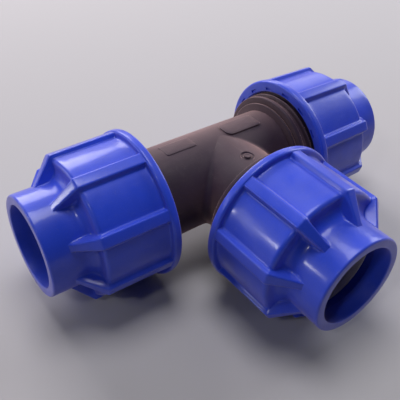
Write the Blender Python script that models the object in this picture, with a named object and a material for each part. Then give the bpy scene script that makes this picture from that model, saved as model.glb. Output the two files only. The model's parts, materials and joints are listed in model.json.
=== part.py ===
"""An equal compression tee for 63 mm polyethylene pipe.

A moulded body carries three threaded spigots. Each spigot holds an O-ring, a press bush that keeps the
O-ring in its seat, a split grip ring that bites on the pipe, and a ribbed nut that closes the ring down.
The run lies along X, the branch points to -Y, and +Z is up. The origin is the middle of the whole tee's
box, on the surface that the three nut flanges stand on. Lengths below are in millimetres; the helpers
turn them into metres. An arm's own frame has its origin at the crossing, +Z outward and +X up.
"""

import math
from collections import namedtuple

import bmesh
import bpy
from mathutils import Matrix, Vector

MM = 0.001
UP = Vector((0, 0, 1))

# Each arm: the way it points, how much longer its plain tube is than the shortest, how far its nut's mouth
# is from the crossing, and how far the nut is turned on its thread, in degrees.
Arm = namedtuple("Arm", "outward extra mouth turn")
ARMS = {
    "left": Arm(Vector((-1, 0, 0)), 17.0, 168.2, -18.6),
    "right": Arm(Vector((1, 0, 0)), 0.0, 160.7, 15.7),
    "branch": Arm(Vector((0, -1, 0)), 0.0, 160.7, 32.8),
}

# The pipe's way through.
SOCKET_RADIUS = 32.0
PASSAGE_RADIUS = 27.5
PIPE_STOP = 44.0

# The nut, by depth from its mouth face.
NUT_LENGTH = 92.5
COLLAR_RADIUS = 39.5
SHOULDER_DEPTH = 34.0
SHOULDER_FILLET = 9.0
BARREL_RADIUS = 54.8
BARREL_DRAFT = 0.4
FLANGE_RADIUS = 60.2
FLANGE_THICKNESS = 7.0
EDGE_ROUND = 1.6
CONE_DEPTHS = (14.0, 40.0)
CONE_RADII = (32.3, 41.0)
CHAMBER_STEP = (4.5, 3.5)
MOUTH_CHAMFER = 1.2

# The ribs on it. A rib climbs from the collar to its corner, then runs back along the barrel.
RIB_COUNT = 8
RIB_TIP = (38.0, 16.1)
RIB_CORNER = (58.3, 33.4)
RIB_BACK_RADIUS = 59.2
RIB_ROOT_RADIUS = 52.5
RIB_HALF_WIDTHS = (2.8, 4.8)

# The thread, right-handed.
PITCH = 6.0
SPIGOT_CORE_RADIUS = 46.4
SPIGOT_CREST_RADIUS = 49.4
NUT_ROOT_RADIUS = 50.3
NUT_CREST_RADIUS = 47.2
NUT_THREAD_DEPTHS = (61.0, 86.0)
SPIGOT_THREAD = (62.8, 90.0)

# The body, by distance from the crossing on the shortest arm.
TUBE_RADIUS = 37.4
BRANCH_DRAFT = 0.2
COLLAR_STEP = (54.2, 43.6)
LAND_STEP = (57.0, 48.6)
LAND_END = 60.6
SPIGOT_END = 93.5
SEAT_START = 72.0
SEAT_RADIUS = 38.2

# What each spigot holds. The grip ring goes by depth in the nut, the others by distance from the crossing.
O_RING_RADIUS = 3.3
O_RING_CLEARANCE = 0.35
BUSH_SLEEVE_RADIUS = 37.8
BUSH_FLANGE_RADIUS = 43.6
BUSH_FLANGE_THICKNESS = 3.0
BUSH_FLOAT = 3.0
GRIP_DEPTHS = (20.0, 48.0)
GRIP_CLEARANCE = 0.75
GRIP_TOOTH_RADIUS = 31.7
GRIP_TOOTH_HEIGHT = 1.6
GRIP_TOOTH_COUNT = 4
GRIP_LEAD = 4.0
GRIP_SLIT_DEGREES = 8.0

STEPS_OUTSIDE = 32
STEPS_INSIDE = 24

CROSSING = Vector((
    (ARMS["left"].mouth - ARMS["right"].mouth) / 2,
    (ARMS["branch"].mouth - FLANGE_RADIUS) / 2,
    FLANGE_RADIUS,
))


# Helpers for solids


def skin(sections, closed=False):
    """A solid through sections of equally many points, capped at its ends unless it closes on itself."""
    solid = bmesh.new()
    loops = [[solid.verts.new(Vector(point) * MM) for point in section] for section in sections]
    following = loops[1:] + loops[:1] if closed else loops[1:]
    for one, other in zip(loops, following):
        for i, corner in enumerate(one):
            j = (i + 1) % len(one)
            solid.faces.new((corner, one[j], other[j], other[i]))
    if not closed:
        solid.faces.new(loops[0])
        solid.faces.new(loops[-1])
    bmesh.ops.remove_doubles(solid, verts=solid.verts, dist=1e-4 * MM)
    bmesh.ops.triangulate(solid, faces=solid.faces)
    bmesh.ops.recalc_face_normals(solid, faces=solid.faces)
    return solid


def turned(profile, steps, slit=0.0):
    """A solid turned about +Z from (radius, height) points, left open by a slit of so many degrees at +X."""
    sweep = 360.0 - slit
    angles = [math.radians(slit / 2 + sweep * step / steps) for step in range(steps + bool(slit))]
    sections = [
        [(radius * math.cos(angle), radius * math.sin(angle), height) for radius, height in profile]
        for angle in angles
    ]
    return skin(sections, closed=not slit)


def arc(centre, radius, start, end, steps):
    """(radius, height) points on an arc about centre, from one angle to another in degrees."""
    angles = [math.radians(start + (end - start) * step / steps) for step in range(steps + 1)]
    return [(centre[0] + radius * math.cos(a), centre[1] + radius * math.sin(a)) for a in angles]


def thread_ridge(wall, buried, crest, widths, heights, height_at_zero):
    """A right-hand helical ridge about +Z that stands on a wall's radius and fades out at both ends.

    Its foot is buried in the wall. widths are the foot's and the crest's. The turns lie between the two
    heights, and one of them crosses angle zero at height_at_zero."""
    rise_per_step = PITCH / STEPS_INSIDE
    first = math.ceil((heights[0] - height_at_zero) / rise_per_step)
    last = math.floor((heights[1] - height_at_zero) / rise_per_step)
    fade_steps = 3
    hidden = (wall + buried) / 2
    foot, top = (width / 2 for width in widths)
    sections = []
    for step in range(first, last + 1):
        share = min(1.0, (step - first) / fade_steps, (last - step) / fade_steps)
        tip = hidden + (crest - hidden) * share
        angle = math.tau * step / STEPS_INSIDE
        height = height_at_zero + rise_per_step * step
        outline = ((buried, -foot), (tip, -top), (tip, top), (buried, foot))
        sections.append([(r * math.cos(angle), r * math.sin(angle), height + h) for r, h in outline])
    return skin(sections)


def as_mesh(name, solid):
    mesh = bpy.data.meshes.new(name)
    solid.to_mesh(mesh)
    solid.free()
    return mesh


def as_object(name, solid):
    item = bpy.data.objects.new(name, as_mesh(name, solid))
    bpy.context.scene.collection.objects.link(item)
    return item


def combined(name, base, *tools):
    """A mesh of the base solid with each (operation, solid) applied to it in turn."""
    work = as_object(name, base)
    helpers = []
    for operation, solid in tools:
        helper = as_object(f"{name}_tool", solid)
        helpers.append(helper)
        boolean = work.modifiers.new(operation.lower(), "BOOLEAN")
        boolean.operation = operation
        boolean.object = helper
    made = bpy.data.meshes.new_from_object(work.evaluated_get(bpy.context.evaluated_depsgraph_get()))
    for item in [work, *helpers]:
        bpy.data.meshes.remove(item.data)
    made.name = name
    return made


def plastic(name, colour, roughness):
    material = bpy.data.materials.new(name)
    material.use_nodes = True
    shader = material.node_tree.nodes["Principled BSDF"]
    shader.inputs["Base Color"].default_value = (*colour, 1)
    shader.inputs["Roughness"].default_value = roughness
    shader.inputs["Metallic"].default_value = 0.0
    return material


def add_piece(name, mesh, material, parent=None, location=(0, 0, 0), turn=0.0):
    """One sub-part, shaded smooth over its round faces."""
    if not mesh.materials:
        mesh.materials.append(material)
    mesh.shade_smooth()
    mesh.set_sharp_from_angle(angle=math.radians(30))
    item = bpy.data.objects.new(name, mesh)
    item.parent = parent
    item.location = Vector(location) * MM
    item.rotation_euler = (0, 0, math.radians(turn))
    bpy.context.scene.collection.objects.link(item)
    return item


def arm_frame(outward):
    """The rotation that takes +Z to an arm's outward way and +X to up."""
    return Matrix((UP, outward.cross(UP), outward)).transposed().to_4x4()


# The nut, in its own frame: the origin at the middle of the mouth face, and +Z out of the mouth


def nut_outside():
    back = -NUT_LENGTH
    front_of_flange = back + FLANGE_THICKNESS
    fillet_centre = (COLLAR_RADIUS + SHOULDER_FILLET, SHOULDER_FILLET - SHOULDER_DEPTH)
    shoulder_round = 3.0
    corner = (BARREL_RADIUS - shoulder_round, -SHOULDER_DEPTH - shoulder_round)
    rim = FLANGE_RADIUS - EDGE_ROUND
    profile = [(0, 0), *arc((COLLAR_RADIUS - EDGE_ROUND, -EDGE_ROUND), EDGE_ROUND, 90, 0, 1)]
    profile += arc(fillet_centre, SHOULDER_FILLET, 180, 270, 3)
    profile += arc(corner, shoulder_round, 90, 0, 1)
    profile += [(BARREL_RADIUS + BARREL_DRAFT, front_of_flange)]
    profile += arc((rim, front_of_flange - EDGE_ROUND), EDGE_ROUND, 90, 0, 1)
    profile += arc((rim, back + EDGE_ROUND), EDGE_ROUND, 0, -90, 1)
    return turned([*profile, (0, back)], STEPS_OUTSIDE)


def nut_inside():
    """What the bore, the cone for the grip ring and the threaded chamber take out of the nut."""
    overshoot = 1.0
    wide = MOUTH_CHAMFER + overshoot
    profile = [
        (0, overshoot),
        (SOCKET_RADIUS + wide, overshoot),
        (SOCKET_RADIUS, -MOUTH_CHAMFER),
        (SOCKET_RADIUS, -CONE_DEPTHS[0]),
        (CONE_RADII[0], -CONE_DEPTHS[0]),
        (CONE_RADII[1], -CONE_DEPTHS[1]),
        (CONE_RADII[1] + CHAMBER_STEP[0], -CONE_DEPTHS[1]),
        (NUT_ROOT_RADIUS, -CONE_DEPTHS[1] - CHAMBER_STEP[1]),
        (NUT_ROOT_RADIUS, MOUTH_CHAMFER - NUT_LENGTH),
        (NUT_ROOT_RADIUS + wide, -NUT_LENGTH - overshoot),
        (0, -NUT_LENGTH - overshoot),
    ]
    return turned(profile, STEPS_INSIDE)


def nut_rib(turn):
    """One grip rib: a gusset that climbs from the collar, then a straight bar back to the flange."""
    narrow, wide = RIB_HALF_WIDTHS
    in_flange = FLANGE_THICKNESS - 2.0 - NUT_LENGTH
    under_collar, under_corner = -31.0, -40.0
    outline = [
        (RIB_TIP[0], -RIB_TIP[1], narrow),
        (RIB_CORNER[0], -RIB_CORNER[1], wide),
        (RIB_BACK_RADIUS, in_flange, wide),
        (RIB_ROOT_RADIUS, in_flange, wide),
        (RIB_ROOT_RADIUS, under_corner, wide),
        (COLLAR_RADIUS - 0.3, under_collar, wide),
    ]
    sides = [[(r, side * half, h) for r, h, half in outline] for side in (-1, 1)]
    rib = skin(sides)
    bmesh.ops.rotate(rib, verts=rib.verts, matrix=Matrix.Rotation(turn, 3, "Z"))
    return rib


def nut_thread():
    low, high = -NUT_THREAD_DEPTHS[1], -NUT_THREAD_DEPTHS[0]
    return thread_ridge(
        NUT_ROOT_RADIUS, NUT_ROOT_RADIUS + 1.2, NUT_CREST_RADIUS, (2.8, 1.9), (low, high), low
    )


def nut_mesh():
    ribs = [("UNION", nut_rib(math.tau * rib / RIB_COUNT)) for rib in range(RIB_COUNT)]
    return combined("nut", nut_outside(), *ribs, ("DIFFERENCE", nut_inside()), ("UNION", nut_thread()))


# The body, in its own frame: the origin at the crossing


def lengthened(outline, arm):
    return [(radius, reach + arm.extra) for radius, reach in outline]


def arm_outline(arm):
    """An arm's outside, from the end of its plain tube: collar, land, thread core and end."""
    end_chamfer = 1.8
    outline = [
        (TUBE_RADIUS, COLLAR_STEP[0]),
        (COLLAR_STEP[1], COLLAR_STEP[0] + 1.0),
        (COLLAR_STEP[1], LAND_STEP[0]),
        (LAND_STEP[1], LAND_STEP[0]),
        (LAND_STEP[1], LAND_END),
        (SPIGOT_CORE_RADIUS, LAND_END),
        (SPIGOT_CORE_RADIUS, SPIGOT_END - end_chamfer),
        (SPIGOT_CORE_RADIUS - end_chamfer, SPIGOT_END),
        (0, SPIGOT_END),
    ]
    return lengthened(outline, arm)


def arm_bore(arm):
    past_end = SPIGOT_END + 1.0
    outline = [
        (PASSAGE_RADIUS, PIPE_STOP),
        (SOCKET_RADIUS, PIPE_STOP),
        (SOCKET_RADIUS, SEAT_START),
        (SEAT_RADIUS, SEAT_START),
        (SEAT_RADIUS, past_end),
        (0, past_end),
    ]
    return lengthened(outline, arm)


def both_ways(outline_of):
    """An outline that runs from the left arm's end through the crossing to the right arm's."""
    back = [(radius, -reach) for radius, reach in reversed(outline_of(ARMS["left"]))]
    return back + outline_of(ARMS["right"])


def from_crossing(outline):
    """An arm's outline closed at the crossing, its first stretch narrower by the moulding's draft."""
    first = outline[0][0] - BRANCH_DRAFT
    return [(0, 0), (first, 0), (first, outline[0][1]), *outline[1:]]


def in_arm(solid, arm):
    bmesh.ops.transform(solid, verts=solid.verts, matrix=arm_frame(arm.outward))
    return solid


def spigot_thread(arm):
    """The spigot's thread, its start set so that it lies midway between the turns of the nut on it."""
    nut_turn_at_zero = arm.mouth - NUT_THREAD_DEPTHS[1] - PITCH * arm.turn / 360
    ridge = thread_ridge(
        SPIGOT_CORE_RADIUS,
        SPIGOT_CORE_RADIUS - 1.2,
        SPIGOT_CREST_RADIUS,
        (3.2, 1.8),
        [reach + arm.extra for reach in SPIGOT_THREAD],
        nut_turn_at_zero + PITCH / 2,
    )
    return in_arm(ridge, arm)


def body_mesh():
    def run_tube(outline_of):
        return in_arm(turned(both_ways(outline_of), STEPS_INSIDE), ARMS["right"])

    def branch_tube(outline_of):
        return in_arm(turned(from_crossing(outline_of(ARMS["branch"])), STEPS_INSIDE), ARMS["branch"])

    return combined(
        "tee_body",
        run_tube(arm_outline),
        ("UNION", branch_tube(arm_outline)),
        *[("UNION", spigot_thread(arm)) for arm in ARMS.values()],
        ("DIFFERENCE", run_tube(arm_bore)),
        ("DIFFERENCE", branch_tube(arm_bore)),
    )


# What a spigot holds. The O-ring and the bush are in the shortest arm's frame, the grip ring in the nut's


def o_ring_mesh():
    sides = 8
    centre = (
        SEAT_RADIUS - O_RING_CLEARANCE - O_RING_RADIUS,
        SEAT_START + O_RING_CLEARANCE + O_RING_RADIUS,
    )
    section = arc(centre, O_RING_RADIUS, 0, 360, sides)[:-1]
    return as_mesh("o_ring", turned(section, STEPS_INSIDE))


def bush_mesh():
    foot = SEAT_START + 2 * O_RING_RADIUS + 2 * O_RING_CLEARANCE
    flange = SPIGOT_END + BUSH_FLOAT
    profile = [
        (SOCKET_RADIUS, foot),
        (BUSH_SLEEVE_RADIUS, foot),
        (BUSH_SLEEVE_RADIUS, flange),
        (BUSH_FLANGE_RADIUS, flange),
        (BUSH_FLANGE_RADIUS, flange + BUSH_FLANGE_THICKNESS),
        (SOCKET_RADIUS, flange + BUSH_FLANGE_THICKNESS),
    ]
    return as_mesh("press_bush", turned(profile, STEPS_INSIDE))


def cone_radius(depth):
    slope = (CONE_RADII[1] - CONE_RADII[0]) / (CONE_DEPTHS[1] - CONE_DEPTHS[0])
    return CONE_RADII[0] + slope * (depth - CONE_DEPTHS[0])


def grip_ring_mesh():
    """A split cone with teeth inside that let a pipe in and hold it back."""
    front, back = GRIP_DEPTHS
    tooth_length = (back - front - GRIP_LEAD) / GRIP_TOOTH_COUNT
    tooth_root = GRIP_TOOTH_RADIUS + GRIP_TOOTH_HEIGHT
    profile = [
        (cone_radius(back) - GRIP_CLEARANCE, -back),
        (cone_radius(front) - GRIP_CLEARANCE, -front),
        (GRIP_TOOTH_RADIUS + 0.5, -front),
    ]
    for tooth in range(GRIP_TOOTH_COUNT):
        start = front + GRIP_LEAD + tooth * tooth_length
        profile += [(GRIP_TOOTH_RADIUS, -start), (tooth_root, -start - 0.4)]
    profile += [(tooth_root + 0.8, -back)]
    return as_mesh("grip_ring", turned(profile, STEPS_INSIDE, GRIP_SLIT_DEGREES))


# The assembly


def add_arm(name, arm, centre, meshes, materials):
    """One arm's nut, grip ring, press bush and O-ring, hung on an empty that points along the arm."""
    holder = bpy.data.objects.new(f"{name}_arm", None)
    holder.matrix_world = Matrix.Translation(centre * MM) @ arm_frame(arm.outward)
    bpy.context.scene.collection.objects.link(holder)
    at_mouth, in_spigot = (0, 0, arm.mouth), (0, 0, arm.extra)
    add_piece(f"{name}_nut", meshes["nut"], materials["nut"], holder, at_mouth, arm.turn)
    add_piece(f"{name}_grip_ring", meshes["grip_ring"], materials["grip_ring"], holder, at_mouth)
    add_piece(f"{name}_press_bush", meshes["press_bush"], materials["press_bush"], holder, in_spigot)
    add_piece(f"{name}_o_ring", meshes["o_ring"], materials["o_ring"], holder, in_spigot)


def main():
    for item in list(bpy.data.objects):
        bpy.data.objects.remove(item, do_unlink=True)
    materials = {
        "body": plastic("black_polypropylene", (0.028, 0.020, 0.026), 0.45),
        "nut": plastic("blue_polypropylene", (0.035, 0.060, 0.480), 0.32),
        "grip_ring": plastic("white_acetal", (0.720, 0.690, 0.640), 0.40),
        "press_bush": plastic("grey_polypropylene", (0.060, 0.060, 0.065), 0.45),
        "o_ring": plastic("black_rubber", (0.012, 0.012, 0.012), 0.70),
    }
    meshes = {
        "nut": nut_mesh(),
        "grip_ring": grip_ring_mesh(),
        "press_bush": bush_mesh(),
        "o_ring": o_ring_mesh(),
    }
    add_piece("tee_body", body_mesh(), materials["body"], location=CROSSING)
    for name, arm in ARMS.items():
        add_arm(name, arm, CROSSING, meshes, materials)


main()
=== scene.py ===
"""The looks of the compression tee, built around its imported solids.

Every piece is modelled again here with its real roundings, helical threads and moulded marks, in its own
arm's frame, and stands for the solid of the same name. Lengths are in millimetres unless a name says
otherwise. An arm's frame has its origin at the crossing of the run and the branch, +Z outward, +X up.
"""

import json
import math
from collections import namedtuple

import bmesh
import bpy
from mathutils import Euler, Matrix, Vector


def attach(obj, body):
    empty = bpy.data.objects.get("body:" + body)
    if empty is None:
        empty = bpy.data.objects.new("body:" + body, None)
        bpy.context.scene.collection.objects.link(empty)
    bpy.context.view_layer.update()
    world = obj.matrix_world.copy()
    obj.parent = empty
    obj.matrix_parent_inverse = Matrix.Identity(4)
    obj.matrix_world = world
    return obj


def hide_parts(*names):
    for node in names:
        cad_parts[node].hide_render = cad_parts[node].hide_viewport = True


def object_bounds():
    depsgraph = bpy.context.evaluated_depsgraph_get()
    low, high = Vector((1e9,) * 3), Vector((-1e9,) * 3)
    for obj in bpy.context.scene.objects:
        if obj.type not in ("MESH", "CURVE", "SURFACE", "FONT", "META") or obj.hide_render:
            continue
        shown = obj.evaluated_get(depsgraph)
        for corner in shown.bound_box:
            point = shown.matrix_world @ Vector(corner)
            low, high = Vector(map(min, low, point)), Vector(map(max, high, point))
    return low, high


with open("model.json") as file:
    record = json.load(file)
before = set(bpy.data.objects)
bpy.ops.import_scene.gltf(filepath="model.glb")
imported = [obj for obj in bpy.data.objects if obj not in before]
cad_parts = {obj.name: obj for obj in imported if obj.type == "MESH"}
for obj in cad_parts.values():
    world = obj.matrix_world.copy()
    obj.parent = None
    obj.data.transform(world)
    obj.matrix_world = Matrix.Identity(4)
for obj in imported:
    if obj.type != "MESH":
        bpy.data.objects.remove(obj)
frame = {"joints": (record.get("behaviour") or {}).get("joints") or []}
cad_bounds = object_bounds()

MM = 0.001
UP = Vector((0, 0, 1))

# The nut, by depth from its mouth face.
SOCKET_RADIUS = 32.0
NUT_LENGTH = 92.5
COLLAR_RADIUS = 39.5
MOUTH_ROUND = 1.7
BORE_ROUND = 0.9
SHOULDER_DEPTH = 34.0
SHOULDER_FILLET = 9.0
SHOULDER_ROUND = 3.2
BARREL_RADII = (54.8, 55.2)
BEAD_RADIUS = 60.2
BEAD_DEPTH = 85.6
BEAD_ROUND = 2.0
BEAD_FILLET = 1.5
CONE_DEPTHS = (14.0, 40.0)
CONE_RADII = (32.3, 41.0)
CHAMBER_STEP = (4.5, 3.5)
OPENING_CHAMFER = 1.2

# The ribs on it, as (radius, depth) where a rib starts on the collar and where it turns to run back.
RIB_COUNT = 8
RIB_TIP = (39.5, 16.8)
RIB_CORNER = (58.5, 33.4)
RIB_CORNER_ROUND = 2.4
RIB_BACK_RADIUS = 59.3
RIB_HALF_WIDTHS = (2.8, 4.7)
RIB_EDGE_ROUND = 1.1
RIB_FOOT_FILLET = 1.5
RIB_DRAFT = 0.35

# The sink pockets in its back face.
POCKET_COUNT = 16
POCKET_RADIUS = 53.3
POCKET_HALF_SIZE = (1.3, 3.8)
POCKET_DEPTH = 1.3

# The thread, right-handed. A ridge has its widths at the foot and the crest, and its foot lies in the wall.
PITCH = 6.0
THREAD_ROOT_DEPTH = 1.2
SPIGOT_CORE_RADIUS = 46.4
SPIGOT_CREST_RADIUS = 49.4
NUT_ROOT_RADIUS = 50.3
NUT_CREST_RADIUS = 47.2
NUT_THREAD_DEPTHS = (61.0, 86.0)
NUT_THREAD_WIDTHS = (2.8, 1.9)
SPIGOT_THREAD = (62.8, 90.0)
SPIGOT_THREAD_WIDTHS = (3.2, 1.8)

# How far each nut is turned on its thread, in degrees.
NUT_TURNS = {"left": -18.6, "right": 15.7, "branch": 32.8}

# The body, by distance from the crossing on the shortest arm, and how much longer each arm's tube is.
TUBE_RADIUS = 37.4
BRANCH_RADIUS = 37.2
SADDLE_FILLET = 6.0
COLLAR_STEP = (54.2, 43.6)
LAND_STEP = (57.0, 48.6)
LAND_END = 60.6
SPIGOT_END = 93.5
SEAT_START = 72.0
SEAT_RADIUS = 38.2
PASSAGE_RADIUS = 27.5
PIPE_STOP = 44.0
EXTRA_TUBE = {"left": 17.0, "right": 0.0, "branch": 0.0}

# What each spigot holds.
O_RING_RADIUS = 3.3
O_RING_CLEARANCE = 0.35
BUSH_SLEEVE_RADIUS = 37.8
BUSH_FLANGE_RADIUS = 43.6
BUSH_FLANGE_THICKNESS = 3.0
BUSH_FLOAT = 3.0
GRIP_DEPTHS = (20.0, 48.0)
GRIP_CLEARANCE = 0.75
GRIP_TOOTH_RADIUS = 31.7
GRIP_TOOTH_HEIGHT = 1.6
GRIP_TOOTH_COUNT = 4
GRIP_LEAD = 4.0
GRIP_SLIT_DEGREES = 8.0

# How finely things are divided: the thread per turn, turned pieces, and the skin round the crossing.
THREAD_STEPS = 96
TURNED_STEPS = 144
GATE_STEPS = 48
RING_STEP_DEGREES = 3.0
PATCH_HALF_DEGREES = 105.0
PATCH_HALF_STEPS = 18

# The mark where the mould was filled, a nub in a dish: how far out along the branch's top, and its radii.
GATE_REACH = 38.0
GATE_DISH_RADII = (5.0, 6.3)
GATE_DISH_DEPTH = 1.1
GATE_NUB_RADIUS = 3.1
GATE_NUB_HEIGHT = 0.9

# The blank pads on the run's tube: reach from the crossing, degrees from the top, height, and end roundings.
LEFT_PAD = ((-52.0, -24.0), (-16.0, 7.0), 0.45, (2.0, 2.0))
RIGHT_PAD = ((5.4, 40.0), (-14.0, 12.0), 1.15, (6.0, 2.6))

# An edge that turns by more than this stays sharp.
SHARP_DEGREES = 38

# The camera, from the crossing, its turn in degrees, and its lens.
CAMERA_OFFSET = Vector((-246.81, -297.07, 281.25))
CAMERA_TURN = (50.763, -2.055, -36.275)
LENS = 50.0
SENSOR_WIDTH = 36.0

# The stage, in metres.
FLOOR_HALF_SIZE = 4.0
FLOOR_GAP = 0.0004
NEAREST_SEEN = 0.01

Arm = namedtuple("Arm", "outward mouth")


def read_arms():
    """The crossing, and for each arm the way it points and how far its mouth is, from the nuts' hinges."""
    hinges = {
        joint["name"].removesuffix("_nut_turn"): joint
        for joint in frame["joints"]
        if joint["name"].endswith("_nut_turn")
    }
    left, branch = (Vector(hinges[name]["pos_m"]) / MM for name in ("left", "branch"))
    centre = Vector((branch.x, left.y, left.z))
    arms = {
        name: Arm(Vector(joint["axis"]), (Vector(joint["pos_m"]) / MM - centre).length)
        for name, joint in hinges.items()
    }
    return centre, arms


CROSSING, ARMS = read_arms()


# Helpers for meshes


def arc(centre, radius, start, end, steps):
    """(radius, height) points on an arc about centre, from one angle to another in degrees."""
    angles = [math.radians(start + (end - start) * step / steps) for step in range(steps + 1)]
    return [(centre[0] + radius * math.cos(a), centre[1] + radius * math.sin(a)) for a in angles]


def line(start, end, steps):
    """Points from start up to end, without end itself."""
    return [
        tuple(a + (b - a) * step / steps for a, b in zip(start, end)) for step in range(steps)
    ]


def add_sheet(solid, rows, closed=False, looped=True):
    """Faces between rows of equally many points. closed joins the last row to the first, and looped joins
    each row's ends."""
    grid = [[solid.verts.new(Vector(point) * MM) for point in row] for row in rows]
    following = grid[1:] + grid[:1] if closed else grid[1:]
    for one, other in zip(grid, following):
        for i in range(len(one) if looped else len(one) - 1):
            j = (i + 1) % len(one)
            solid.faces.new((one[i], one[j], other[j], other[i]))
    return grid


def welded(solid):
    bmesh.ops.remove_doubles(solid, verts=solid.verts, dist=1e-4 * MM)
    bmesh.ops.recalc_face_normals(solid, faces=solid.faces)
    return solid


def skin(sections, closed=False):
    """A solid through looped sections, capped at its ends unless it closes on itself."""
    solid = bmesh.new()
    loops = add_sheet(solid, sections, closed)
    if not closed:
        solid.faces.new(loops[0])
        solid.faces.new(loops[-1])
    return welded(solid)


def turned(profile, steps=TURNED_STEPS, slit=0.0):
    """A solid turned about +Z from (radius, height) points, left open by a slit of so many degrees at +X."""
    sweep = 360.0 - slit
    angles = [math.radians(slit / 2 + sweep * step / steps) for step in range(steps + bool(slit))]
    sections = [
        [(radius * math.cos(angle), radius * math.sin(angle), height) for radius, height in profile]
        for angle in angles
    ]
    return skin(sections, closed=not slit)


def thread_ridge(wall, buried, crest, widths, heights, height_at_zero):
    """A right-hand helical ridge about +Z with a rounded crest, which fades out at both ends.

    Its foot is buried in the wall. widths are the foot's and the crest's. The turns lie between the two
    heights, and one of them crosses angle zero at height_at_zero."""
    rise_per_step = PITCH / THREAD_STEPS
    first = math.ceil((heights[0] - height_at_zero) / rise_per_step)
    last = math.floor((heights[1] - height_at_zero) / rise_per_step)
    fade_steps = THREAD_STEPS // 8
    hidden = (wall + buried) / 2
    foot, top = (width / 2 for width in widths)
    edge_drop, flat_share = 0.09, 0.6
    sections = []
    for step in range(first, last + 1):
        ends = min(1.0, (step - first) / fade_steps, (last - step) / fade_steps)
        share = math.sin(math.pi / 2 * ends)
        tip = hidden + (crest - hidden) * share
        edge = tip + (buried - tip) * edge_drop
        angle = math.tau * step / THREAD_STEPS
        height = height_at_zero + rise_per_step * step
        outline = (
            (buried, -foot),
            (edge, -top),
            (tip, -flat_share * top),
            (tip, flat_share * top),
            (edge, top),
            (buried, foot),
        )
        sections.append([(r * math.cos(angle), r * math.sin(angle), height + h) for r, h in outline])
    return skin(sections)


def joined(*solids):
    """One bmesh that holds all of these, as separate shells."""
    mesh = bpy.data.meshes.new("joined")
    whole = bmesh.new()
    for solid in solids:
        solid.to_mesh(mesh)
        solid.free()
        whole.from_mesh(mesh)
    bpy.data.meshes.remove(mesh)
    return whole


def as_mesh(name, solid):
    mesh = bpy.data.meshes.new(name)
    solid.to_mesh(mesh)
    solid.free()
    return mesh


def combined(name, base, *tools):
    """A mesh of the base solid with each (operation, solid) applied to it in turn."""
    work = bpy.data.objects.new(name, as_mesh(name, base))
    bpy.context.scene.collection.objects.link(work)
    helpers = []
    for operation, solid in tools:
        helper = bpy.data.objects.new(f"{name}_tool", as_mesh(f"{name}_tool", solid))
        bpy.context.scene.collection.objects.link(helper)
        helpers.append(helper)
        boolean = work.modifiers.new(operation.lower(), "BOOLEAN")
        boolean.operation = operation
        boolean.object = helper
    made = bpy.data.meshes.new_from_object(work.evaluated_get(bpy.context.evaluated_depsgraph_get()))
    for item in [work, *helpers]:
        bpy.data.meshes.remove(item.data)
    made.name = name
    return made


def arm_frame(outward):
    """The rotation that takes +Z to an arm's outward way and +X to up."""
    return Matrix((UP, outward.cross(UP), outward)).transposed().to_4x4()


def in_arm(solid, arm):
    bmesh.ops.transform(solid, verts=solid.verts, matrix=arm_frame(arm.outward))
    return solid


# The nut, in its own frame: the origin at the middle of the mouth face, and +Z out of the mouth


def rib_outline(count):
    """A rib's crest from the collar to just behind its corner, in so many (radius, height) points."""
    tip, corner = (RIB_TIP[0], -RIB_TIP[1]), (RIB_CORNER[0], -RIB_CORNER[1])
    climb = math.atan2(corner[0] - tip[0], tip[1] - corner[1])
    middle_radius = corner[0] - RIB_CORNER_ROUND
    below = RIB_CORNER_ROUND + math.cos(climb) * (middle_radius - tip[0])
    middle = (middle_radius, tip[1] - below / math.sin(climb))
    turn = arc(middle, RIB_CORNER_ROUND, math.degrees(climb), 0, 5)
    end = (corner[0], -SHOULDER_DEPTH - SHOULDER_ROUND - 2.0)
    return [*line(tip, turn[0], count - len(turn) - 1), *turn, end]


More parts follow.
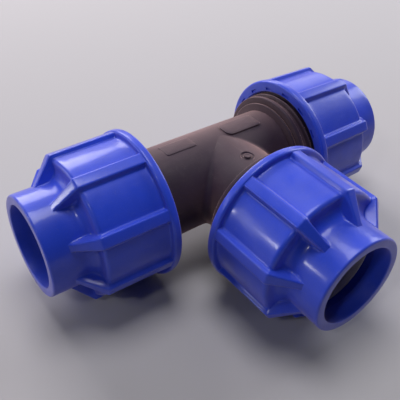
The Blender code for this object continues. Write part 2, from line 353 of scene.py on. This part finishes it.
def nut_rows():
    """The nut's section as rows of (smooth outline, rib outline, rib half width), once round from the bore.

    Both outlines are (radius, height) points. Away from the ribs they are the same."""
    back = -NUT_LENGTH
    tip_width, width = RIB_HALF_WIDTHS
    widening = 1.3
    shared = arc((SOCKET_RADIUS + BORE_ROUND, -BORE_ROUND), BORE_ROUND, 180, 90, 4)
    shared += [((SOCKET_RADIUS + COLLAR_RADIUS) / 2, 0)]
    shared += arc((COLLAR_RADIUS - MOUTH_ROUND, -MOUTH_ROUND), MOUTH_ROUND, 90, 0, 6)
    shared += line((COLLAR_RADIUS, -5), (COLLAR_RADIUS, -RIB_TIP[1]), 3)
    rows = [(point, point, tip_width) for point in shared]

    fillet_centre = (COLLAR_RADIUS + SHOULDER_FILLET, SHOULDER_FILLET - SHOULDER_DEPTH)
    smooth = line((COLLAR_RADIUS, -RIB_TIP[1]), (COLLAR_RADIUS, fillet_centre[1]), 5)
    smooth += arc(fillet_centre, SHOULDER_FILLET, 180, 270, 11)
    corner = (BARREL_RADII[0] - SHOULDER_ROUND, -SHOULDER_DEPTH - SHOULDER_ROUND)
    smooth += arc(corner, SHOULDER_ROUND, 90, 0, 7)
    smooth += [(BARREL_RADII[0], corner[1] - 2.0)]
    for i, (low, high) in enumerate(zip(smooth, rib_outline(len(smooth)))):
        grown = min(1.0, widening * i / len(smooth))
        rows.append((low, high, tip_width + (width - tip_width) * grown))

    fillet = (BARREL_RADII[1] + BEAD_FILLET, BEAD_FILLET - BEAD_DEPTH)
    bar_start, bar_end, bar_steps = smooth[-1][1], fillet[1], 7
    for step in range(1, bar_steps):
        share = step / bar_steps
        height = bar_start + (bar_end - bar_start) * share
        low = BARREL_RADII[0] + (BARREL_RADII[1] - BARREL_RADII[0]) * share
        high = RIB_CORNER[0] + (RIB_BACK_RADIUS - RIB_CORNER[0]) * share
        rows.append(((low, height), (high, height), width))

    bead_foot = arc(fillet, BEAD_FILLET, 180, 270, 5)
    bead_front = arc((BEAD_RADIUS - BEAD_ROUND, -BEAD_DEPTH - BEAD_ROUND), BEAD_ROUND, 90, 0, 8)
    for i, low in enumerate([*bead_foot, *bead_front]):
        share = min(1.0, i / len(bead_foot))
        met = (RIB_BACK_RADIUS, bar_end - (BEAD_DEPTH + bar_end) * share)
        rows.append((low, met if low[0] < RIB_BACK_RADIUS else low, width))

    around = arc((BEAD_RADIUS - BEAD_ROUND, back + BEAD_ROUND), BEAD_ROUND, 0, -90, 8)
    around += [
        (NUT_ROOT_RADIUS + OPENING_CHAMFER, back),
        (NUT_ROOT_RADIUS, back + OPENING_CHAMFER),
        (NUT_ROOT_RADIUS, -CONE_DEPTHS[1] - CHAMBER_STEP[1]),
        (CONE_RADII[1] + CHAMBER_STEP[0], -CONE_DEPTHS[1]),
        (CONE_RADII[1], -CONE_DEPTHS[1]),
        (CONE_RADII[0], -CONE_DEPTHS[0]),
        (SOCKET_RADIUS, -CONE_DEPTHS[0]),
    ]
    for i, point in enumerate(around):
        share = i / len(around)
        rows.append((point, point, width + (tip_width - width) * share))
    return rows


def across_rib(smooth, rib, half_width):
    """One row from the middle of a rib to midway to the next: (radius, height, angle) points."""
    smooth, rib = Vector(smooth), Vector(rib)
    rise = rib - smooth
    most_of_rise, least_spread, side_gap = 0.98, 0.3, 0.05
    fit = min(1.0, most_of_rise * rise.length / (RIB_EDGE_ROUND + RIB_FOOT_FILLET))
    edge, foot, draft = RIB_EDGE_ROUND * fit, RIB_FOOT_FILLET * fit, RIB_DRAFT * fit
    up = rise.normalized() if fit > 0 else rise
    curve_steps, plain_steps = 5, 8
    turns = [math.pi / 2 * step / curve_steps for step in range(curve_steps + 1)]
    found = [(rib, 0.0), (rib, 0.5 * half_width)]
    for turn in turns:
        side = half_width - (edge + least_spread) * (1 - math.sin(turn))
        found.append((rib - up * edge * (1 - math.cos(turn)), side))
    for turn in turns:
        side = half_width + draft + (foot + least_spread) * (1 - math.cos(turn)) + side_gap
        found.append((smooth + up * foot * (1 - math.sin(turn)), side))
    points = [(at[0], at[1], math.asin(side / at[0])) for at, side in found]
    last, midway = points[-1][2], math.pi / RIB_COUNT
    for step in range(1, plain_steps + 1):
        points.append((*smooth, last + (midway - last) * step / plain_steps))
    return points


def nut_shell():
    """The nut's whole surface but for the thread, as columns that run once round its section."""
    rows = [across_rib(*row) for row in nut_rows()]
    half = len(rows[0])
    order = [(i, -1) for i in range(half - 1, 0, -1)] + [(i, 1) for i in range(half - 1)]
    columns = []
    for rib in range(RIB_COUNT):
        centre = math.tau * rib / RIB_COUNT
        for index, side in order:
            column = []
            for row in rows:
                radius, height, angle = row[index]
                turn = centre + side * angle
                column.append((radius * math.cos(turn), radius * math.sin(turn), height))
            columns.append(column)
    return skin(columns, closed=True)


def nut_pockets():
    """Small sink pockets around the back face, between the bead and the opening."""
    round_radius, taper, out_of_face = 0.95, 0.25, 1.0
    wide, long = POCKET_HALF_SIZE
    pockets = []
    for i in range(POCKET_COUNT):
        ends = []
        for height, inset in ((-out_of_face, 0.0), (POCKET_DEPTH, taper)):
            outline = []
            for quarter, (sx, sy) in enumerate(((1, 1), (-1, 1), (-1, -1), (1, -1))):
                middle = (sx * (wide - round_radius), sy * (long - round_radius))
                start = 90 * quarter
                outline += arc(middle, round_radius - inset, start, start + 90, 4)
            ends.append([(POCKET_RADIUS + x, y, height - NUT_LENGTH) for x, y in outline])
        pocket = skin(ends)
        turn = Matrix.Rotation(math.tau * (i + 0.5) / POCKET_COUNT, 3, "Z")
        bmesh.ops.rotate(pocket, verts=pocket.verts, matrix=turn)
        pockets.append(pocket)
    return joined(*pockets)


def nut_thread():
    low, high = -NUT_THREAD_DEPTHS[1], -NUT_THREAD_DEPTHS[0]
    return thread_ridge(
        wall=NUT_ROOT_RADIUS,
        buried=NUT_ROOT_RADIUS + THREAD_ROOT_DEPTH,
        crest=NUT_CREST_RADIUS,
        widths=NUT_THREAD_WIDTHS,
        heights=(low, high),
        height_at_zero=low,
    )


def nut_mesh():
    return combined("nut", nut_shell(), ("UNION", nut_thread()), ("DIFFERENCE", nut_pockets()))


# The body, in its own frame: the origin at the crossing


def spigot_outline(radius):
    """A spigot's outside from the end of its plain tube: collar, groove, land, thread core and end."""
    collar, land, core = COLLAR_STEP[1], LAND_STEP[1], SPIGOT_CORE_RADIUS
    chamfer, edge = 1.8, 0.7
    return [
        (radius, COLLAR_STEP[0]),
        (radius + edge, COLLAR_STEP[0] + 0.2),
        *arc((collar - edge, COLLAR_STEP[0] + edge + 0.2), edge, -90, 0, 4),
        *arc((collar - edge, LAND_STEP[0] - edge - 0.3), edge, 0, 75, 3),
        (collar - edge, LAND_STEP[0]),
        *arc((land - edge, LAND_STEP[0] + edge), edge, -90, 0, 4),
        *arc((land - edge, LAND_END - edge), edge, 0, 90, 4),
        *arc((core + edge, LAND_END + edge), edge, -90, -180, 3),
        (core, SPIGOT_END - chamfer),
        (core - chamfer, SPIGOT_END),
        (0, SPIGOT_END),
    ]


def arm_bore():
    past_end, edge = SPIGOT_END + 1.0, 0.6
    return [
        (PASSAGE_RADIUS, PIPE_STOP - edge),
        (PASSAGE_RADIUS + edge, PIPE_STOP),
        (SOCKET_RADIUS - edge, PIPE_STOP),
        (SOCKET_RADIUS, PIPE_STOP + edge),
        (SOCKET_RADIUS, SEAT_START - edge),
        (SOCKET_RADIUS + edge, SEAT_START),
        (SEAT_RADIUS, SEAT_START),
        (SEAT_RADIUS, SPIGOT_END - edge),
        (SEAT_RADIUS + 1.6 + edge, past_end),
        (0, past_end),
    ]


def lengthened(outline, name):
    return [(radius, reach + EXTRA_TUBE[name]) for radius, reach in outline]


def saddle_path(turn):
    """The rounding between the run and the branch at one angle round the branch from its top.

    It is where a ball that touches both tubes passes, from the run's side to the branch's, and with it
    comes the angle round the run, from the branch's way up, at which it starts."""
    ball, steps = SADDLE_FILLET, 10
    across = (BRANCH_RADIUS + ball) * math.sin(turn)
    height = (BRANCH_RADIUS + ball) * math.cos(turn)
    out = math.sqrt((TUBE_RADIUS + ball) ** 2 - height**2)
    centre = Vector((across, -out, height))
    to_run = Vector((0, out, -height)).normalized()
    to_branch = Vector((-across, 0, -height)).normalized()
    path = [centre + ball * to_run.slerp(to_branch, step / steps) for step in range(steps + 1)]
    return path, math.atan2(height, out)


def patch_border():
    """The border of the patch of the run's tube round the branch, as (along the run, angle) points.

    It starts over the branch's middle and goes towards +X first. Angles go round the run from the
    branch's way up."""
    right, top = COLLAR_STEP[0], math.radians(PATCH_HALF_DEGREES)
    side_steps = round(2 * PATCH_HALF_DEGREES / RING_STEP_DEGREES)
    across = [right * i / PATCH_HALF_STEPS for i in range(PATCH_HALF_STEPS)]
    down = [top - math.radians(RING_STEP_DEGREES) * i for i in range(side_steps)]
    border = [(along, top) for along in across] + [(right, angle) for angle in down]
    border += [(right - along, -top) for along in across] + [(-along, -top) for along in across]
    return border + [(-right, -angle) for angle in down] + [(along - right, top) for along in across]


def on_run(along, angle, radius=TUBE_RADIUS):
    return (along, -radius * math.cos(angle), radius * math.sin(angle))


def branch_column(turn, border_point):
    """From the patch's border over the crossing and out along the branch to the middle of its end."""
    patch_rows, tube_rows = 6, 5
    path, start_angle = saddle_path(turn)
    column = []
    for row in range(patch_rows):
        share = row / patch_rows
        along = border_point[0] + (path[0].x - border_point[0]) * share
        column.append(on_run(along, border_point[1] + (start_angle - border_point[1]) * share))
    column += path
    start = -path[-1].y
    for row in range(1, tube_rows):
        reach = start + (COLLAR_STEP[0] - start) * row / tube_rows
        column.append((path[-1].x, -reach, path[-1].z))
    outline = spigot_outline(BRANCH_RADIUS)
    return column + [(r * math.sin(turn), -reach, r * math.cos(turn)) for r, reach in outline]


def body_shell():
    """The tee's outside: two tubes with a rounded crossing, and three plain spigots."""
    shell = bmesh.new()
    border = patch_border()
    columns = [branch_column(math.tau * i / len(border), at) for i, at in enumerate(border)]
    add_sheet(shell, columns, closed=True, looped=False)

    start, step = math.radians(PATCH_HALF_DEGREES), math.radians(RING_STEP_DEGREES)
    back_steps = round((360 - 2 * PATCH_HALF_DEGREES) / RING_STEP_DEGREES)
    across = range(-PATCH_HALF_STEPS, PATCH_HALF_STEPS + 1)
    back = [
        [on_run(COLLAR_STEP[0] * i / PATCH_HALF_STEPS, start + step * turn) for i in across]
        for turn in range(back_steps + 1)
    ]
    add_sheet(shell, back, looped=False)

    ring = [start + step * turn for turn in range(round(360 / RING_STEP_DEGREES))]
    for name, side in (("left", -1), ("right", 1)):
        outline = lengthened(spigot_outline(TUBE_RADIUS), name)
        outline = [*line((TUBE_RADIUS, COLLAR_STEP[0]), outline[0], 5), *outline]
        rows = [[on_run(side * reach, angle, radius) for angle in ring] for radius, reach in outline]
        add_sheet(shell, rows)
    return welded(shell)


def spigot_thread(name):
    """The spigot's thread, its start set so that it lies midway between the turns of the nut on it."""
    arm = ARMS[name]
    nut_turn_at_zero = arm.mouth - NUT_THREAD_DEPTHS[1] - PITCH * NUT_TURNS[name] / 360
    ridge = thread_ridge(
        wall=SPIGOT_CORE_RADIUS,
        buried=SPIGOT_CORE_RADIUS - THREAD_ROOT_DEPTH,
        crest=SPIGOT_CREST_RADIUS,
        widths=SPIGOT_THREAD_WIDTHS,
        heights=[reach + EXTRA_TUBE[name] for reach in SPIGOT_THREAD],
        height_at_zero=nut_turn_at_zero + PITCH / 2,
    )
    return in_arm(ridge, arm)


def label_pad(along, around, proud, end_rounds):
    """A low pad with rounded corners moulded on the run's tube, for a label.

    along is its reach from the crossing, around its degrees from the top towards the branch, and
    end_rounds its corners' radii at the two ends."""
    middle = (sum(along) / 2, math.radians(sum(around) / 2) * TUBE_RADIUS)
    half = ((along[1] - along[0]) / 2, math.radians(around[1] - around[0]) / 2 * TUBE_RADIUS)
    edge, sunk = 0.35, 1.0

    def outline(inset):
        points = []
        for quarter, (sx, sy) in enumerate(((1, 1), (-1, 1), (-1, -1), (1, -1))):
            radius = end_rounds[1 if sx > 0 else 0]
            centre = (sx * (half[0] - radius), sy * (half[1] - radius))
            points += arc(centre, radius - inset, 90 * quarter, 90 * quarter + 90, 8)
        return points

    levels = [(outline(0.0), -sunk), (outline(0.0), proud - edge)]
    edge_steps = 3
    for step in range(1, edge_steps + 1):
        turn = math.pi / 2 * step / edge_steps
        inset, height = edge * (1 - math.cos(turn)), proud - edge * (1 - math.sin(turn))
        levels.append((outline(inset), height))
    rim = levels[-1][0]
    for share in (0.75, 0.5, 0.25, 0.01):
        levels.append(([(x * share, y * share) for x, y in rim], proud))
    sections = []
    for points, height in levels:
        radius = TUBE_RADIUS + height
        turns = [(middle[0] + x, (middle[1] + y) / TUBE_RADIUS) for x, y in points]
        sections.append([(x, -radius * math.sin(a), radius * math.cos(a)) for x, a in turns])
    return skin(sections)


def gate_mark(outline):
    """Something turned about a line straight out of the branch's top, where the mould was filled."""
    mark = turned(outline, GATE_STEPS)
    bmesh.ops.translate(mark, verts=mark.verts, vec=(0, -GATE_REACH * MM, BRANCH_RADIUS * MM))
    return mark


def body_mesh():
    run, branch = ARMS["right"], ARMS["branch"]
    threads = [spigot_thread(name) for name in ARMS]
    nub, floor, rim = GATE_NUB_RADIUS, *GATE_DISH_RADII
    boss = gate_mark([(0, -2), (nub + 1, -2), (nub + 1, GATE_NUB_HEIGHT), (0, GATE_NUB_HEIGHT)])
    dish = gate_mark(
        [
            (0, 0.2),
            (0.8, 0.5),
            *arc((nub - 0.5, 0.0), 0.5, 90, 0, 4),
            (nub + 0.1, -0.9),
            (nub + 0.4, -GATE_DISH_DEPTH),
            (floor, -GATE_DISH_DEPTH),
            (rim - 0.3, -0.1),
            (rim + 0.1, 0.3),
            (rim + 0.3, 1.3),
            (0, 1.3),
        ]
    )
    left_bore, right_bore = (lengthened(arm_bore(), name) for name in ("left", "right"))
    run_bore = [(radius, -reach) for radius, reach in reversed(left_bore)] + right_bore
    branch_bore = [(0, 0), (PASSAGE_RADIUS, 0), *arm_bore()]
    return combined(
        "tee_body",
        body_shell(),
        ("UNION", joined(*threads, label_pad(*LEFT_PAD), label_pad(*RIGHT_PAD), boss)),
        ("DIFFERENCE", in_arm(turned(run_bore), run)),
        ("DIFFERENCE", joined(in_arm(turned(branch_bore), branch), dish)),
    )


# What a spigot holds. The O-ring and the bush are in the arm's frame, the grip ring in the nut's


def o_ring_mesh():
    centre = (
        SEAT_RADIUS - O_RING_CLEARANCE - O_RING_RADIUS,
        SEAT_START + O_RING_CLEARANCE + O_RING_RADIUS,
    )
    return as_mesh("o_ring", turned(arc(centre, O_RING_RADIUS, 0, 360, 32)[:-1]))


def bush_mesh():
    foot = SEAT_START + 2 * O_RING_RADIUS + 2 * O_RING_CLEARANCE
    flange, top, edge = SPIGOT_END + BUSH_FLOAT, SPIGOT_END + BUSH_FLOAT + BUSH_FLANGE_THICKNESS, 0.6
    profile = [
        *arc((SOCKET_RADIUS + edge, foot + edge), edge, 180, 270, 3),
        *arc((BUSH_SLEEVE_RADIUS - edge, foot + edge), edge, -90, 0, 3),
        *arc((BUSH_SLEEVE_RADIUS + 0.3, flange - 0.3), 0.3, 180, 90, 2),
        *arc((BUSH_FLANGE_RADIUS - edge, flange + edge), edge, -90, 0, 3),
        *arc((BUSH_FLANGE_RADIUS - edge, top - edge), edge, 0, 90, 3),
        *arc((SOCKET_RADIUS + edge, top - edge), edge, 90, 180, 3),
    ]
    return as_mesh("press_bush", turned(profile))


def cone_radius(depth):
    slope = (CONE_RADII[1] - CONE_RADII[0]) / (CONE_DEPTHS[1] - CONE_DEPTHS[0])
    return CONE_RADII[0] + slope * (depth - CONE_DEPTHS[0])


def grip_ring_mesh():
    """A split cone with teeth inside that let a pipe in and hold it back."""
    front, back = GRIP_DEPTHS
    root = GRIP_TOOTH_RADIUS + GRIP_TOOTH_HEIGHT
    length = (back - front - GRIP_LEAD) / GRIP_TOOTH_COUNT
    edge = 0.5
    front_radius, back_radius = (cone_radius(depth) - GRIP_CLEARANCE for depth in GRIP_DEPTHS)
    profile = [
        *arc((back_radius - edge, -back + edge), edge, -90, 0, 3),
        (front_radius, -front - edge),
        (front_radius - edge, -front),
        (GRIP_TOOTH_RADIUS + 0.9, -front),
        (GRIP_TOOTH_RADIUS + 0.3, -front - edge),
    ]
    for tooth in range(GRIP_TOOTH_COUNT):
        start = front + GRIP_LEAD + tooth * length
        profile += [
            (GRIP_TOOTH_RADIUS, -start + 0.3),
            (GRIP_TOOTH_RADIUS, -start),
            (root - 0.2, -start - 0.35),
            (root, -start - 0.7),
        ]
    profile += [(root + 0.8, -back + edge), (root + 0.8 + edge, -back)]
    return as_mesh("grip_ring", turned(profile, slit=GRIP_SLIT_DEGREES))


# Materials


class Shading:
    """A material's nodes, added and linked by short calls."""

    def __init__(self, name):
        self.material = bpy.data.materials.new(name)
        self.material.use_nodes = True
        self.tree = self.material.node_tree
        self.shader = self.tree.nodes["Principled BSDF"]
        self.place = self.node("ShaderNodeTexCoord").outputs["Object"]

    def node(self, kind, inputs=None, **settings):
        made = self.tree.nodes.new(kind)
        for key, value in settings.items():
            setattr(made, key, value)
        for key, value in (inputs or {}).items():
            self.put(made.inputs[key], value)
        return made

    def put(self, socket, value):
        if isinstance(value, bpy.types.NodeSocket):
            self.tree.links.new(value, socket)
        else:
            socket.default_value = value

    def noise(self, scale, detail=2.0, roughness=0.5, distortion=0.0, stretch=None):
        place = self.place
        if stretch:
            place = self.node("ShaderNodeMapping", {"Vector": place, "Scale": stretch}).outputs[0]
        inputs = {
            "Vector": place,
            "Scale": scale,
            "Detail": detail,
            "Roughness": roughness,
            "Distortion": distortion,
        }
        return self.node("ShaderNodeTexNoise", inputs).outputs[0]

    def spread(self, value, low, high, to_low=0.0, to_high=1.0):
        """The value's stretch from low to high, taken smoothly to another stretch and held at its ends."""
        made = self.node(
            "ShaderNodeMapRange",
            {"Value": value, "From Min": low, "From Max": high, "To Min": to_low, "To Max": to_high},
            interpolation_type="SMOOTHSTEP",
        )
        return made.outputs[0]

    def scaled(self, value, factor):
        return self.maths("MULTIPLY", value, factor)

    def maths(self, operation, *values):
        made = self.node("ShaderNodeMath", operation=operation)
        for socket, value in zip(made.inputs, values):
            self.put(socket, value)
        return made.outputs[0]

    def mixed(self, share, one, other):
        made = self.node("ShaderNodeMix", data_type="RGBA")
        for socket, value in zip((made.inputs[0], made.inputs[6], made.inputs[7]), (share, one, other)):
            self.put(socket, value)
        return made.outputs[2]

    def bump(self, height, strength, distance, before=None):
        inputs = {"Height": height, "Strength": strength, "Distance": distance}
        if before:
            inputs["Normal"] = before
        return self.node("ShaderNodeBump", inputs).outputs[0]


def shade(colour, factor):
    return (*(min(1.0, channel * factor) for channel in colour), 1.0)


def moulded_plastic(
    name,
    colour,
    roughness,
    dust_colour,
    edge_colour,
    dust,
    specular=0.5,
    coat=0.0,
    bloom=0.0,
    bloom_tint=(1.0, 1.0, 1.0),
):
    """Injection-moulded plastic with faint flow shades, rubbed edges, fine scuffs, a little dust and painted
    shade in its hollows.

    bloom is the pale haze that such plastic shows where it is seen or lit at a slant."""
    look = Shading(name)
    dust_colour = (*dust_colour, 1.0)
    flow = look.noise(scale=14.0, detail=3.0, roughness=0.55, distortion=0.6)
    flow = look.spread(flow, low=0.3, high=0.7)
    speck = look.spread(look.noise(scale=900.0, detail=2.0), low=0.42, high=0.62)
    base = look.mixed(flow, shade(colour, 0.90), shade(colour, 1.10))
    base = look.mixed(look.scaled(speck, 0.10), base, shade(colour, 1.35))

    # Edges are rubbed in patches, and hollows get painted shade: a darker copy of the plastic's own colour.
    point = look.node("ShaderNodeNewGeometry").outputs["Pointiness"]
    patchy = look.noise(scale=70.0, detail=3.0, roughness=0.6)
    patchy = look.spread(patchy, low=0.35, high=0.65, to_low=0.35, to_high=1.0)
    edges = look.maths("MULTIPLY", look.spread(point, low=0.515, high=0.60), patchy)
    base = look.mixed(look.scaled(edges, 0.30), base, (*edge_colour, 1.0))
    # Painted shade: concave spots are mixed towards the colour at 0.55 of its brightness.
    painted_hollow_shade = look.spread(point, low=0.485, high=0.40)
    base = look.mixed(look.scaled(painted_hollow_shade, 0.35), base, shade(colour, 0.55))

    cloud = look.spread(look.noise(scale=38.0, detail=5.0, roughness=0.65), low=0.48, high=0.75)
    base = look.mixed(look.scaled(cloud, dust), base, dust_colour)

    # Scuffs run one way and scratches the other.
    scuffs = look.noise(160.0, detail=3.0, roughness=0.5, distortion=0.2, stretch=(1.0, 9.0, 1.6))
    scuffs = look.spread(scuffs, low=0.60, high=0.72)
    scratches = look.noise(230.0, detail=2.0, roughness=0.5, distortion=0.1, stretch=(7.0, 1.0, 1.3))
    scratches = look.spread(scratches, low=0.63, high=0.70)
    worn = look.maths("MULTIPLY", look.maths("MAXIMUM", scuffs, scratches), patchy)
    base = look.mixed(look.scaled(worn, 0.07), base, dust_colour)

    rough = look.noise(scale=55.0, detail=4.0, roughness=0.6)
    rough = look.spread(rough, low=0.3, high=0.7, to_low=roughness - 0.05, to_high=roughness + 0.07)
    rough = look.maths("ADD", rough, look.scaled(worn, 0.12))
    rough = look.maths("ADD", rough, look.scaled(cloud, 0.05))

    waves = look.bump(look.noise(scale=45.0, detail=2.0), strength=0.10, distance=0.0006)
    grain = look.noise(scale=1500.0, detail=2.0, roughness=0.6)
    grain = look.bump(grain, strength=0.07, distance=0.00012, before=waves)
    normal = look.bump(worn, strength=0.10, distance=0.00008, before=grain)

    for socket, value in {
        "Base Color": base,
        "Roughness": rough,
        "Normal": normal,
        "Specular IOR Level": specular,
        "IOR": 1.49,
        "Coat Weight": coat,
        "Coat Roughness": 0.13,
        "Sheen Weight": bloom,
        "Sheen Roughness": 0.45,
        "Sheen Tint": (*bloom_tint, 1.0),
    }.items():
        look.put(look.shader.inputs[socket], value)
    return look.material


# The assembly


def add_piece(name, mesh, material, arm, height, turn, body, nodes):
    """One visible piece, at a height and a turn in its arm's frame, which stands for its CAD nodes."""
    mesh = mesh.copy()
    mesh.name = name
    mesh.materials.append(material)
    frame_of_arm = arm_frame(arm.outward) if arm else Matrix.Identity(4)
    place = Matrix.Translation((0, 0, height * MM)) @ Matrix.Rotation(math.radians(turn), 4, "Z")
    mesh.transform(Matrix.Translation(CROSSING * MM) @ frame_of_arm @ place)
    mesh.shade_smooth()
    mesh.set_sharp_from_angle(angle=math.radians(SHARP_DEGREES))
    item = bpy.data.objects.new(name, mesh)
    bpy.context.scene.collection.objects.link(item)
    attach(item, body)
    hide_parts(*nodes)


def all_materials():
    """The materials by the name of their slot."""
    return {
        "body_plastic": moulded_plastic(
            "black_polypropylene",
            colour=(0.013, 0.005, 0.024),
            roughness=0.60,
            specular=0.32,
            dust_colour=(0.30, 0.25, 0.24),
            dust=0.06,
            edge_colour=(0.11, 0.09, 0.09),
            bloom=0.90,
            bloom_tint=(1.0, 0.66, 0.62),
        ),
        "nut_plastic": moulded_plastic(
            "blue_polypropylene",
            colour=(0.017, 0.060, 0.650),
            roughness=0.40,
            specular=0.38,
            dust_colour=(0.30, 0.31, 0.55),
            dust=0.05,
            edge_colour=(0.08, 0.12, 0.70),
            coat=0.35,
            bloom=0.28,
            bloom_tint=(1.0, 0.78, 0.55),
        ),
        "grip_plastic": moulded_plastic(
            "white_acetal",
            colour=(0.60, 0.55, 0.56),
            roughness=0.42,
            dust_colour=(0.45, 0.40, 0.34),
            dust=0.15,
            edge_colour=(0.70, 0.65, 0.64),
        ),
        "bush_plastic": moulded_plastic(
            "grey_polypropylene",
            colour=(0.055, 0.055, 0.060),
            roughness=0.45,
            dust_colour=(0.25, 0.24, 0.23),
            dust=0.06,
            edge_colour=(0.15, 0.15, 0.16),
        ),
        "seal_rubber": moulded_plastic(
            "black_rubber",
            colour=(0.012, 0.012, 0.012),
            roughness=0.62,
            specular=0.35,
            dust_colour=(0.12, 0.11, 0.11),
            dust=0.10,
            edge_colour=(0.03, 0.03, 0.03),
        ),
    }


def build():
    materials = all_materials()
    body = body_mesh()
    nut, grip, bush, seal = nut_mesh(), grip_ring_mesh(), bush_mesh(), o_ring_mesh()
    add_piece("body", body, materials["body_plastic"], None, 0, 0, "tee", ["tee_body"])
    for name, arm in ARMS.items():
        for piece, mesh, height, turn, on, node, slot in (
            ("nut", nut, arm.mouth, NUT_TURNS[name], f"{name}_nut", "nut", "nut_plastic"),
            ("gripper", grip, arm.mouth, 0, f"{name}_grip_ring", "grip_ring", "grip_plastic"),
            ("bush", bush, EXTRA_TUBE[name], 0, f"{name}_press_bush", "press_bush", "bush_plastic"),
            ("seal", seal, EXTRA_TUBE[name], 0, "tee", "o_ring", "seal_rubber"),
        ):
            title, nodes = f"{name}_{piece}_piece", [f"{name}_{node}"]
            add_piece(title, mesh, materials[slot], arm, height, turn, on, nodes)


def add_floor(centre, height):
    """A plain pale floor under the fitting."""
    half = FLOOR_HALF_SIZE
    signs = ((-1, -1), (1, -1), (1, 1), (-1, 1))
    corners = [(centre.x + half * x, centre.y + half * y, height) for x, y in signs]
    floor_mesh = bpy.data.meshes.new("floor")
    floor_mesh.from_pydata(corners, [], [(0, 1, 2, 3)])
    floor = bpy.data.objects.new("floor", floor_mesh)
    pale = bpy.data.materials.new("pale_floor")
    pale.use_nodes = True
    shader = pale.node_tree.nodes["Principled BSDF"]
    shader.inputs["Base Color"].default_value = (0.44, 0.43, 0.45, 1)
    shader.inputs["Roughness"].default_value = 0.9
    shader.inputs["Specular IOR Level"].default_value = 0.1
    floor_mesh.materials.append(pale)
    bpy.context.scene.collection.objects.link(floor)


def add_lights(centre):
    """A faint even light, wide soft lamps all round, and two small lamps for glints like a window's."""
    scene = bpy.context.scene
    world = bpy.data.worlds.new("studio")
    world.use_nodes = True
    background = world.node_tree.nodes["Background"]
    background.inputs["Color"].default_value = (0.96, 0.95, 1.0, 1)
    background.inputs["Strength"].default_value = 0.02
    scene.world = world

    for name, offset, size, power, colour in (
        ("back_light", (0.10, 1.56, 0.90), 1.0, 20.5, (1.0, 0.95, 0.95)),
        ("top_light", (0.0, 0.25, 1.78), 0.9, 16.5, (1.0, 0.98, 1.0)),
        ("left_light", (-1.30, 1.15, 0.42), 0.9, 5.0, (1.0, 0.98, 0.98)),
        ("back_right_light", (1.20, 1.20, 0.70), 0.9, 4.0, (1.0, 0.97, 0.97)),
        ("low_window", (-1.56, 0.72, 0.530), 0.18, 2.6, (1.0, 0.99, 1.0)),
        ("high_window", (-1.20, -0.43, 1.27), 0.16, 2.8, (1.0, 0.99, 1.0)),
        ("right_light", (1.56, 0.15, 0.90), 0.9, 14.0, (0.97, 0.98, 1.0)),
    ):
        lamp = bpy.data.lights.new(name, "AREA")
        lamp.shape = "DISK"
        lamp.size = size
        lamp.energy = power
        lamp.color = colour
        item = bpy.data.objects.new(name, lamp)
        item.location = centre + Vector(offset)
        item.rotation_euler = (-Vector(offset)).to_track_quat("-Z", "Y").to_euler()
        scene.collection.objects.link(item)


def add_camera():
    """The photo's own view."""
    scene = bpy.context.scene
    camera = bpy.data.cameras.new("camera")
    camera.lens = LENS
    camera.sensor_width = SENSOR_WIDTH
    camera.clip_start = NEAREST_SEEN
    item = bpy.data.objects.new("camera", camera)
    item.location = (CROSSING + CAMERA_OFFSET) * MM
    item.rotation_euler = Euler([math.radians(angle) for angle in CAMERA_TURN])
    scene.collection.objects.link(item)
    scene.camera = item
    scene.view_settings.view_transform = "Standard"


def add_stage():
    low, high = (Vector(corner) for corner in cad_bounds)
    centre = (low + high) / 2
    add_floor(centre, low.z - FLOOR_GAP)
    add_lights(centre)
    add_camera()


build()
add_stage()
bpy.context.view_layer.update()
